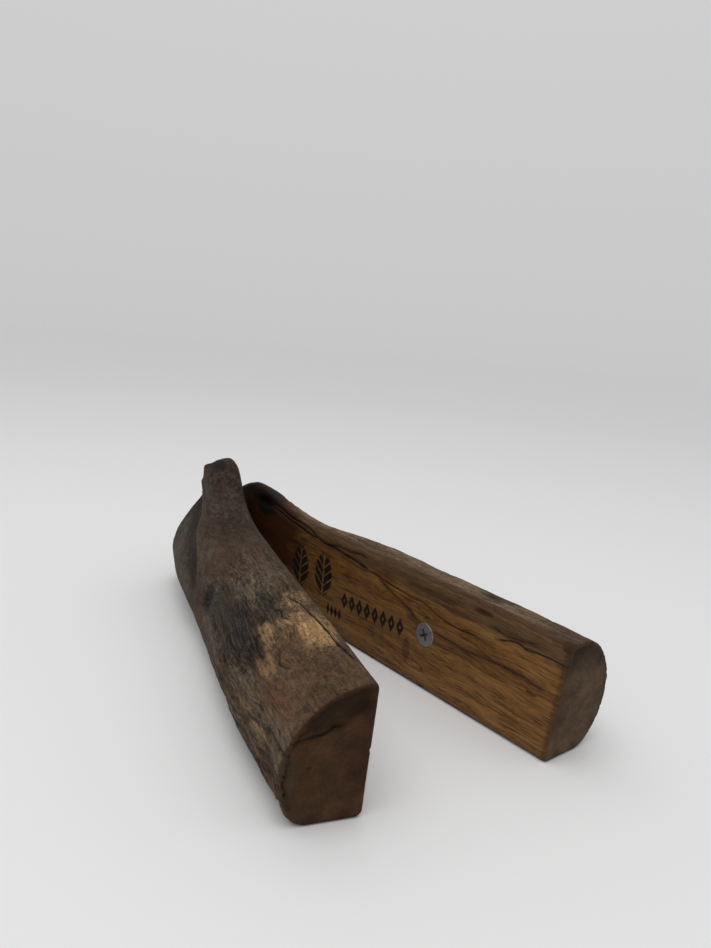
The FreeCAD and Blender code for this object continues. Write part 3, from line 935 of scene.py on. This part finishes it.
def end_relief(side, points):
    """How deep a sawn end is hollowed, in millimetres."""
    out, up = points[:, 1], points[:, 2]
    rough = 0.10 * (1 + layered_noise(points, (9, 3.2, 3.2), 61 + side))
    if side < 0:
        # A bevel struck along the top of the left half's sawn end, and a split under it
        line = np.interp(out, BEVEL_OUT, BEVEL_UP)
        rough += 1.1 * step_up(up - line, -0.5, 1.6) * step_up(out, 0.5, 5)
        rough += 0.8 * np.exp(-((up - line + 0.6) / 0.7) ** 2) * step_up(out, 5, 8)
        rough += 0.9 * step_up(out, 18.6, 21.2) * step_up(up, 7, 10)
    for depth, centre, radii in END_CHIPS[side]:
        rough += depth * lump(points, (points[0, 0], *centre), (20, *radii))
    return rough


def worn_rings(side, sizes):
    """Outlines along a half with its worn edges, relief and cracks: (along, out, up) of each
    point, how far each stands out, and the distances along at which the rings were drawn."""
    tree, arris = SURFACES[side], sizes.arris
    places = ring_places(sizes.ring_step, arris)
    safe = np.clip(places, END_MARGIN, SAWN_FOOT[side] - HEAD_END - END_MARGIN)
    rings = np.array([section(tree, HEAD_END + place) for place in safe])
    if side > 0:
        rings = round_crest(rings, places)
    rings = ease_corners(rings, arris)
    normal = inward(rings)
    for distance in (places, LIMB_LENGTH - places):
        lost = arris - np.sqrt(arris ** 2 - (arris - np.clip(distance, 0, arris)) ** 2)
        rings = rings + normal * lost[:, None, None]
    count, around = rings.shape[:2]
    points = np.concatenate([np.broadcast_to(places[:, None, None], (count, around, 1)), rings],
                            axis=2)
    # Which of a ring's points are on the bark, fading out at its two edges
    spot = np.arange(around)
    last = INNER_POINTS + BARK_POINTS
    bark = step_up(spot, INNER_POINTS, INNER_POINTS + 5.0) * (1 - step_up(spot, last - 5.0, last))
    flat = points.reshape(-1, 3)
    lift = bark_relief(side, flat, np.tile(bark, count)) * sizes.relief
    lift -= np.tile(spot <= INNER_POINTS, count) * face_relief(side, flat)
    worn = lift.reshape(count, around)
    flat[:, 1:] -= normal.reshape(-1, 2) * lift[:, None]
    flat[:, 1] = np.maximum(flat[:, 1], INNER_FACE)
    flat[:, 2] = np.maximum(flat[:, 2], 0.0)
    return flat.reshape(count, around, 3), worn, places


def end_cap(side, ring, direction):
    """Ever smaller rings that close an end, and how deep each of them is hollowed, as a negative
    height for the painted shade in hollows.
    """
    centre = np.array(RING_CENTRE)
    cap, depths = [], []
    for index in range(1, CAP_RINGS):
        smaller = ring.copy()
        smaller[:, 1:] = centre + (ring[:, 1:] - centre) * (1 - index / CAP_RINGS)
        depth = end_relief(side, smaller) * (direction < 0)
        smaller[:, 0] += direction * depth
        cap.append(smaller)
        depths.append(-depth)
    return cap, depths


def skin_faces(layers, around):
    """Quads between neighbouring rings, and a fan of triangles round each end's middle."""
    faces = []
    for layer in range(layers - 1):
        base, above = layer * around, (layer + 1) * around
        for here in range(around):
            ahead = (here + 1) % around
            faces.append((base + here, base + ahead, above + ahead, above + here))
    last = (layers - 1) * around
    for here in range(around):
        ahead = (here + 1) % around
        faces.append((layers * around, here, ahead))
        faces.append((layers * around + 1, last + ahead, last + here))
    return faces


def limb_mesh(name, side, sizes):
    """One half as a closed skin of rings, worn at its edges and marked by its cracks."""
    points, worn, places = worn_rings(side, sizes)
    around = points.shape[1]
    head_cap, head_relief = end_cap(side, points[0], 1.0)
    sawn_cap, sawn_relief = end_cap(side, points[-1], -1.0)
    layers = head_cap[::-1] + list(points) + sawn_cap
    marks = head_relief[::-1] + list(worn) + sawn_relief
    # The ends are marked as sawn, and so is a hair's breadth of the wood about them
    rim = 1 - step_up(LIMB_LENGTH / 2 - np.abs(places - LIMB_LENGTH / 2), 0.1, sizes.arris * 0.5)
    whole = [np.ones(around)] * (CAP_RINGS - 1)
    sawn = whole + [np.full(around, share) for share in rim] + whole
    # Lean the sawn end, more and more over the last stretch
    every = np.concatenate(layers)
    lean = step_up(every[:, 0], LIMB_LENGTH - LEAN_LENGTH, LIMB_LENGTH)
    slope = SAWN_SLOPE[side]
    end_here = SAWN_FOOT[side] + slope * every[:, 2] - HEAD_END
    every[:, 0] += (end_here - LIMB_LENGTH) * lean
    every[:, 0] += HEAD_END
    hubs = [layers[0].mean(axis=0), layers[-1].mean(axis=0)]
    hubs[0][0] = HEAD_END
    hubs[1][0] = SAWN_FOOT[side] + slope * hubs[1][2] - 0.1
    vertices = to_place(side, np.concatenate([every, hubs]))
    mesh = bpy.data.meshes.new(name)
    mesh.from_pydata([tuple(vertex) for vertex in vertices], [], skin_faces(len(layers), around))
    tidy_normals(mesh)
    # How far the surface stands out is kept for the painted shade in hollows, and the sawn share for
    # the end grain
    for label, values, hub in (("worn", marks, 0.0), ("sawn", sawn, 1.0)):
        layer = mesh.attributes.new(label, "FLOAT", "POINT")
        layer.data.foreach_set("value", np.concatenate([*values, [hub, hub]]).astype(np.float32))
    return mesh


def tidy_normals(mesh):
    """Smooth faces that all point outwards."""
    work = bmesh.new()
    work.from_mesh(mesh)
    bmesh.ops.recalc_face_normals(work, faces=work.faces)
    work.to_mesh(mesh)
    work.free()
    mesh.polygons.foreach_set("use_smooth", [True] * len(mesh.polygons))
    mesh.update()


# Pockets, in millimetres: how deep the hinge is let in, and how much room each piece has
RECESS_DEPTH, RIM_DEPTH = 1.2, 0.42
LEAF_PLAY, SEAT_PLAY, TIP_PLAY = 0.1, 0.12, 0.3
# Cutters stand this far out of the face, and a screw's hole is this share of its head
PROUD, HOLE_SHARE = 2.0, 0.62


def box_cutter(work, side, low, high):
    """A box between two corners given in the half's own frame."""
    corners = np.array([(x, y, z) for x in (low[0], high[0]) for y in (low[1], high[1])
                        for z in (low[2], high[2])])
    made = [work.verts.new(place) for place in to_place(side, corners)]
    for face in ((0, 1, 3, 2), (4, 6, 7, 5), (0, 4, 5, 1), (2, 3, 7, 6), (0, 2, 6, 4), (1, 5, 7, 3)):
        work.faces.new([made[index] for index in face])


def lathe_cutter(work, side, along, up, profile, segments=64):
    """A solid turned about an axis that runs out of the joint plane; profile is (radius, out)."""
    rings = []
    for radius, out in profile:
        turns = np.linspace(0, 2 * math.pi, segments, endpoint=False)
        ring = np.stack([along + radius * np.cos(turns), np.full(segments, out),
                         up + radius * np.sin(turns)], axis=1)
        rings.append([work.verts.new(place) for place in to_place(side, ring)])
    for lower, upper in zip(rings, rings[1:]):
        for here in range(segments):
            ahead = (here + 1) % segments
            work.faces.new((lower[here], lower[ahead], upper[ahead], upper[here]))
    work.faces.new(rings[0][::-1])
    work.faces.new(rings[-1])


def cut_pockets(mesh, word, side, material):
    """Cut the hinge recess and the seat of the screw or the magnet out of a half."""
    name = "limb_" + word
    leaf_low, leaf_high = extent("hinge_leaf_" + word, side)
    work = bmesh.new()
    leaf_depth = INNER_FACE + RECESS_DEPTH
    box_cutter(work, side, (0.0, INNER_FACE - PROUD, leaf_low[2] - LEAF_PLAY),
               (leaf_high[0] + LEAF_PLAY, leaf_depth, leaf_high[2] + LEAF_PLAY))
    if side > 0:
        head, shank = SCREW_RADIUS + SEAT_PLAY, SCREW_RADIUS / 2 + SEAT_PLAY
        rim = INNER_FACE + RIM_DEPTH
        lathe_cutter(work, side, SCREW_ALONG, SCREW_UP, [
            (head, INNER_FACE - PROUD), (head, rim), (shank, rim + head - shank),
            (shank, float(SCREW[1][1]) + TIP_PLAY)])
    else:
        radius = width_of(MAGNET, 2) / 2 + SEAT_PLAY
        lathe_cutter(work, side, middle(MAGNET, 0), middle(MAGNET, 2),
                     [(radius, INNER_FACE - PROUD), (radius, float(MAGNET[1][1]))])
    screws = extent("hinge_screws_" + word, side)
    radius = width_of(screws, 0) / 2
    hole = radius * HOLE_SHARE
    for sign in (-1, 1):
        up = middle(screws, 2) + sign * (width_of(screws, 2) / 2 - radius)
        lathe_cutter(work, side, middle(screws, 0), up, [
            (hole, leaf_depth - TIP_PLAY), (hole, float(screws[1][1]) + TIP_PLAY)], 24)
    bmesh.ops.recalc_face_normals(work, faces=work.faces)
    cutter_mesh = bpy.data.meshes.new("pockets")
    work.to_mesh(cutter_mesh)
    work.free()
    cutter = new_object("pockets", cutter_mesh, material)
    wood = new_object(name, mesh, material)
    boolean = wood.modifiers.new("pockets", "BOOLEAN")
    boolean.operation = "DIFFERENCE"
    boolean.solver = "EXACT"
    boolean.object = cutter
    result = plain_mesh(wood, name)
    bpy.data.objects.remove(cutter)
    result.polygons.foreach_set("use_smooth", [True] * len(result.polygons))
    result.set_sharp_from_angle(angle=math.radians(50))
    return new_object(name, result, material)


def build_half(word, patches, cracks, end_tone):
    """One finished wooden half, in place of its CAD node."""
    side = SIDES[word]
    scene = bpy.context.scene
    material = wood_material("limb_" + word, side, scene.limb_colours, patches, cracks, end_tone)
    mesh = limb_mesh("limb_" + word, side, scene.limb_sizes)
    piece = cut_pockets(mesh, word, side, material)
    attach(piece, word)
    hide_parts(word + "_half")
    return piece


class LIMB_OT_right_half(bpy.types.Operator):
    """Right half of the limb, with its oiled split face and burnt marks"""
    bl_idname = "limb.right_half"
    bl_label = "Right Half"

    def execute(self, context):
        colours = context.scene.limb_colours
        # The pale colour of the two strips along the top is a painted highlight on the crest
        pale = (0.152, 0.102, 0.060)
        # Near-black painted shadow over the top of the head, where the left half's head shades it
        head_shadow = (0.011, 0.009, 0.005)
        patches = (
            ((110, 6, 39), (86, 7, 4.0), pale, 0.8, 0.9),
            ((58, 5, 41), (26, 7, 4), pale, 0.25, 0.9),
            ((150, 9, 38), (7, 4, 3), colours.stain, 0.6, 1.2),
            ((14, 8, 46), (25, 14, 10), head_shadow, 0.93, 0.8),
            ((150, 22, 20), (30, 8, 9), colours.tan, 0.35, 1.4),
            ((80, 24, 16), (34, 8, 10), colours.stain, 0.35, 1.4),
        )
        end_tone = ((0.078, 0.044, 0.022), (0.096, 0.060, 0.034))
        build_half("right", patches, (), end_tone)
        return {"FINISHED"}


class LIMB_OT_left_half(bpy.types.Operator):
    """Left half of the limb, weathered, stained and rubbed bare along its top"""
    bl_idname = "limb.left_half"
    bl_label = "Left Half"

    def execute(self, context):
        colours = context.scene.limb_colours
        rust = (0.086, 0.036, 0.021)
        blue = (0.019, 0.0145, 0.011)
        umber = (0.069, 0.039, 0.019)
        straw = (0.270, 0.165, 0.070)
        patches = (
            ((22, 25, 20), (46, 9, 15), colours.ash, 0.75, 0.7),
            ((80, 14, 33), (18, 9, 7), scaled(colours.taupe, 1.25), 0.7, 1.0),
            ((166, 12, 32), (26, 16, 12), umber, 0.85, 0.8),
            ((118, 22, 26), (30, 7, 7.5), blue, 0.92, 1.2),
            ((127, 12, 34), (9, 8, 5), blue, 0.75, 1.6),
            ((89, 24, 22), (8, 6, 4.2), colours.stain, 0.95, 1.2),
            ((148, 8, 36), (13, 7.5, 6), colours.tan, 0.72, 1.6),
            ((141, 16.5, 31.5), (8, 2.8, 3.0), colours.tan, 0.62, 1.5),
            ((130, 6.0, 36.5), (8, 4.0, 4), colours.tan, 0.55, 1.6),
            ((152, 19.2, 28), (10, 1.9, 3), colours.tan, 0.5, 1.4),
            ((151, 12.5, 34), (8, 3.2, 4), umber, 0.85, 1.6),
            ((152, 6.5, 36), (8, 3.4, 4), straw, 0.75, 1.4),
            ((164, 19.5, 26), (10, 2.4, 3), rust, 0.45, 1.4),
            ((140, 6.5, 36), (7, 2.2, 3), rust, 0.25, 1.6),
            ((152, 23, 17), (30, 3, 2.0), colours.tan, 0.35, 1.6),
            ((162, 23, 9), (34, 4, 3.2), colours.stain, 0.45, 1.5),
        )
        end_tone = (scaled(colours.end_grain, 0.72),
                    scaled(colours.end_grain, 1.02))
        build_half("left", patches, TOP_CRACKS, end_tone)
        return {"FINISHED"}


# Metal parts -------------------------------------------------------------------------------


HEAD_RIM = 0.0003
# A small screw's shank is this share of its head
SMALL_SHANK = 0.545
# Cross recess: its turn, and its length, width and depth as shares of the head's radius
RECESS_TURN = math.radians(28)
RECESS_SIZE = (0.98, 0.23, 0.62)


def screw_tree(material):
    """Geometry Nodes: countersunk screws with a cross recess, stood in a row."""
    tree = bpy.data.node_groups.new("countersunk_screws", "GeometryNodeTree")
    sizes = (("Head Radius", 0.004), ("Shank Radius", 0.002), ("Length", 0.018),
             ("Rim", HEAD_RIM), ("Pitch", 0.013))
    tree.interface.new_socket("Geometry", in_out="INPUT", socket_type="NodeSocketGeometry")
    for label, value in sizes:
        socket = tree.interface.new_socket(label, in_out="INPUT", socket_type="NodeSocketFloat")
        socket.default_value = value
    count = tree.interface.new_socket("Count", in_out="INPUT", socket_type="NodeSocketInt")
    count.default_value = 1
    tree.interface.new_socket("Geometry", in_out="OUTPUT", socket_type="NodeSocketGeometry")
    nodes, links = tree.nodes, tree.links
    group_in, group_out = nodes.new("NodeGroupInput"), nodes.new("NodeGroupOutput")

    def feed(socket, value):
        if isinstance(value, bpy.types.NodeSocket):
            links.new(value, socket)
        else:
            socket.default_value = value

    def add(kind, settings, inputs, output=0):
        made = nodes.new(kind)
        for key, value in settings.items():
            setattr(made, key, value)
        for key, value in inputs.items():
            feed(made.inputs[key], value)
        return made.outputs[output]

    def calc(operation, first, second=0.0):
        return add("ShaderNodeMath", {"operation": operation}, {0: first, 1: second})

    head, shank = group_in.outputs["Head Radius"], group_in.outputs["Shank Radius"]
    length, rim = group_in.outputs["Length"], group_in.outputs["Rim"]
    bevel = calc("MULTIPLY", head, 0.05)
    under = calc("ADD", calc("ADD", bevel, rim), calc("SUBTRACT", head, shank))
    # The outline from the face of the head to the tip: depth and radius of each corner
    outline = ((0.0, calc("SUBTRACT", head, bevel)), (bevel, head),
               (calc("ADD", bevel, rim), head), (under, shank),
               (calc("SUBTRACT", length, calc("MULTIPLY", shank, 1.6)), shank),
               (length, calc("MULTIPLY", shank, 0.06)))
    index = nodes.new("GeometryNodeInputIndex").outputs[0]

    def corner_value(which):
        switch = nodes.new("GeometryNodeIndexSwitch")
        switch.data_type = "FLOAT"
        while len(switch.index_switch_items) < len(outline):
            switch.index_switch_items.new()
        links.new(index, switch.inputs["Index"])
        for place, corner in enumerate(outline):
            feed(switch.inputs[place + 1], corner[which])
        return switch.outputs[0]

    down = add("ShaderNodeCombineXYZ", {}, {2: calc("MULTIPLY", corner_value(0), -1.0)})
    line = add("GeometryNodeMeshLine", {}, {"Count": len(outline)})
    line = add("GeometryNodeSetPosition", {}, {"Geometry": line, "Position": down})
    curve = add("GeometryNodeMeshToCurve", {}, {"Mesh": line})
    circle = add("GeometryNodeCurvePrimitiveCircle", {}, {"Resolution": 64, "Radius": 1.0})
    turned = add("GeometryNodeCurveToMesh", {}, {
        "Curve": curve, "Profile Curve": circle, "Scale": corner_value(1), "Fill Caps": True})
    slots = nodes.new("GeometryNodeJoinGeometry")
    for turn in (RECESS_TURN, RECESS_TURN + math.pi / 2):
        size = add("ShaderNodeCombineXYZ", {}, {
            axis: calc("MULTIPLY", head, share) for axis, share in enumerate(RECESS_SIZE)})
        slot = add("GeometryNodeMeshCube", {}, {"Size": size})
        slot = add("GeometryNodeTransform", {}, {"Geometry": slot, "Rotation": (0, 0, turn)})
        links.new(slot, slots.inputs[0])
    body = nodes.new("GeometryNodeMeshBoolean")
    body.operation, body.solver = "DIFFERENCE", "EXACT"
    body.inputs["Self Intersection"].default_value = True
    links.new(turned, body.inputs["Mesh 1"])
    links.new(slots.outputs[0], body.inputs["Mesh 2"])
    step = add("ShaderNodeCombineXYZ", {}, {1: group_in.outputs["Pitch"]})
    row = add("GeometryNodeMeshLine", {}, {"Count": group_in.outputs["Count"], "Offset": step})
    placed = add("GeometryNodeInstanceOnPoints", {}, {"Points": row, "Instance": body.outputs[0]})
    real = add("GeometryNodeRealizeInstances", {}, {"Geometry": placed})
    painted = add("GeometryNodeSetMaterial", {}, {"Geometry": real, "Material": material})
    links.new(painted, group_out.inputs[0])
    return tree


def screw_piece(name, tree, side, sizes, count, first):
    """Screws made by the tree, laid with their heads flush with a half's inner face."""
    material = tree.nodes["Set Material"].inputs["Material"].default_value
    holder = new_object(name, bpy.data.meshes.new(name), material)
    modifier = holder.modifiers.new("screws", "NODES")
    modifier.node_group = tree
    inputs = {item.name: item.identifier for item in tree.interface.items_tree
              if item.in_out == "INPUT"}
    for label, value in {**sizes, "Count": count}.items():
        modifier[inputs[label]] = value
    mesh = plain_mesh(holder, name)
    # The tree stands screws along Z with their heads up and a row along Y
    turn = Matrix.Rotation(half_turn(side), 4, "Z") @ Matrix.Diagonal((1, side, 1, 1))
    lay = Matrix(((1, 0, 0, 0), (0, 0, -1, 0), (0, 1, 0, 0), (0, 0, 0, 1)))
    place = Vector(to_place(side, np.array([first]))[0])
    mesh.transform(Matrix.Translation(place) @ turn @ lay)
    tidy_normals(mesh)
    mesh.set_sharp_from_angle(angle=math.radians(30))
    return new_object(name, mesh, material)


class LIMB_OT_screws(bpy.types.Operator):
    """Keeper screw in the right half and the four screws of the hinge"""
    bl_idname = "limb.screws"
    bl_label = "Screws"

    def execute(self, context):
        colours = context.scene.limb_colours
        zinc = metal_material("dull_zinc", colours.zinc, scaled(colours.zinc, 0.6),
                              0.46, 0.85)
        brass = metal_material("screw_brass", colours.brass, (0.16, 0.10, 0.05), 0.38)
        keeper = {"Head Radius": SCREW_RADIUS * MM, "Shank Radius": SCREW_RADIUS / 2 * MM,
                  "Length": width_of(SCREW, 1) * MM, "Rim": HEAD_RIM}
        piece = screw_piece("keeper_screw_zinc", screw_tree(zinc), 1, keeper, 1,
                            (SCREW_ALONG, INNER_FACE, SCREW_UP))
        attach(piece, "right")
        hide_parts("keeper_screw")
        small_tree = screw_tree(brass)
        for word, side in SIDES.items():
            pair = extent("hinge_screws_" + word, side)
            radius = width_of(pair, 0) / 2
            small = {"Head Radius": radius * MM, "Shank Radius": radius * SMALL_SHANK * MM,
                     "Length": width_of(pair, 1) * MM, "Rim": HEAD_RIM,
                     "Pitch": (width_of(pair, 2) - 2 * radius) * MM}
            first = (middle(pair, 0), INNER_FACE, float(pair[0][2]) + radius)
            piece = screw_piece("hinge_screws_brass_" + word, small_tree, side, small, 2, first)
            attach(piece, word)
            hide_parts("hinge_screws_" + word)
        return {"FINISHED"}


class LIMB_OT_hinge(bpy.types.Operator):
    """Butt hinge at the heads and the magnet opposite the keeper screw"""
    bl_idname = "limb.hinge"
    bl_label = "Hinge and Magnet"

    def execute(self, context):
        colours = context.scene.limb_colours
        brass = metal_material("hinge_brass", colours.brass, (0.15, 0.095, 0.045), 0.36)
        pin = metal_material("pin_brass", scaled(colours.brass, 0.85),
                             (0.12, 0.08, 0.05), 0.30)
        nickel = metal_material("magnet_nickel", colours.nickel,
                                scaled(colours.nickel, 0.75), 0.22)
        finishes = {"hinge_leaf_right": brass, "hinge_leaf_left": brass, "hinge_pin": pin,
                    "closing_magnet": nickel}
        for node, material in finishes.items():
            cad = frame["nodes"][node]
            for slot in cad.material_slots:
                slot.material = material
        return {"FINISHED"}


# Stage -------------------------------------------------------------------------------------


# In metres: how far the floor reaches, and the light's place from the object's middle and size
FLOOR_REACH = 30.0
LIGHT_OFFSET, LIGHT_SIZE = (-0.28, -0.22, 0.85), 0.7


def add_light(name, place, aim, size, power):
    """A round, soft light aimed at a point."""
    data = bpy.data.lights.new(name, "AREA")
    data.shape = "DISK"
    data.size = size
    data.energy = power
    light = bpy.data.objects.new(name, data)
    light.location = place
    light.rotation_mode = "QUATERNION"
    light.rotation_quaternion = (Vector(aim) - Vector(place)).to_track_quat("-Z", "Y")
    bpy.context.scene.collection.objects.link(light)
    return light


def even_sky(horizon, zenith):
    """A white world whose light grows from the horizon to the zenith."""
    world = bpy.data.worlds.new("even_sky")
    world.use_nodes = True
    nodes, links = world.node_tree.nodes, world.node_tree.links
    coords, split = nodes.new("ShaderNodeTexCoord"), nodes.new("ShaderNodeSeparateXYZ")
    fade = nodes.new("ShaderNodeMapRange")
    fade.inputs["To Min"].default_value = horizon
    fade.inputs["To Max"].default_value = zenith
    links.new(coords.outputs["Generated"], split.inputs[0])
    links.new(split.outputs["Z"], fade.inputs["Value"])
    background = nodes["Background"]
    background.inputs["Color"].default_value = (1, 1, 1, 1)
    links.new(fade.outputs[0], background.inputs["Strength"])
    return world


def aimed_camera(stage):
    """The camera, placed from the foot of the hinge pin."""
    data = bpy.data.cameras.new("camera")
    data.lens = stage.lens
    data.sensor_width = 36.0
    data.clip_start = 0.01
    camera = bpy.data.objects.new("camera", data)
    bpy.context.scene.collection.objects.link(camera)
    turn = (Matrix.Rotation(-stage.azimuth, 4, "Z")
            @ Matrix.Rotation(math.pi / 2 - stage.pitch, 4, "X")
            @ Matrix.Rotation(-stage.roll, 4, "Z"))
    camera.matrix_world = Matrix.Translation(PIN + Vector(stage.camera_from_pin)) @ turn
    return camera


class LIMB_OT_stage(bpy.types.Operator):
    """Floor, soft light and camera"""
    bl_idname = "limb.stage"
    bl_label = "Stage"

    def execute(self, context):
        scene = context.scene
        stage, colours = scene.limb_stage, scene.limb_colours
        mesh = bpy.data.meshes.new("floor")
        corners = [(x * FLOOR_REACH, y * FLOOR_REACH, 0)
                   for x, y in ((-1, -1), (1, -1), (1, 1), (-1, 1))]
        mesh.from_pydata(corners, [], [(0, 1, 2, 3)])
        floor = new_object("floor", mesh, floor_material(colours.floor))
        scene.world = even_sky(stage.horizon, stage.zenith)
        low, high = CAD_BOX
        middle_point = (low + high) / 2
        add_light("overhead", middle_point + Vector(LIGHT_OFFSET), middle_point, LIGHT_SIZE,
                  stage.key)
        scene.camera = aimed_camera(stage)
        scene.view_settings.view_transform = "Standard"
        return {"FINISHED"}


class LIMB_PT_panel(bpy.types.Panel):
    """Sizes, colours and the steps that build the limb"""
    bl_idname = "LIMB_PT_panel"
    bl_label = "Split Limb"
    bl_space_type = "VIEW_3D"
    bl_region_type = "UI"
    bl_category = "Split Limb"

    def draw(self, context):
        scene = context.scene
        for group in (scene.limb_sizes, scene.limb_colours, scene.limb_stage):
            box = self.layout.box()
            for key in group.__annotations__:
                box.prop(group, key)
        for operator in OPERATORS:
            self.layout.operator(operator.bl_idname)


OPERATORS = (LIMB_OT_stage, LIMB_OT_right_half, LIMB_OT_left_half, LIMB_OT_screws, LIMB_OT_hinge)
GROUPS = {"limb_sizes": LimbSizes, "limb_colours": LimbColours, "limb_stage": StageSizes}


def register():
    for group in GROUPS.values():
        bpy.utils.register_class(group)
    for name, group in GROUPS.items():
        setattr(bpy.types.Scene, name, bpy.props.PointerProperty(type=group))
    for operator in OPERATORS:
        bpy.utils.register_class(operator)
    bpy.utils.register_class(LIMB_PT_panel)


def unregister():
    bpy.utils.unregister_class(LIMB_PT_panel)
    for operator in reversed(OPERATORS):
        bpy.utils.unregister_class(operator)
    for name, group in GROUPS.items():
        delattr(bpy.types.Scene, name)
        bpy.utils.unregister_class(group)


def main():
    register()
    bpy.ops.limb.stage()
    bpy.ops.limb.right_half()
    bpy.ops.limb.left_half()
    bpy.ops.limb.screws()
    bpy.ops.limb.hinge()


if __name__ == "__main__":
    main()
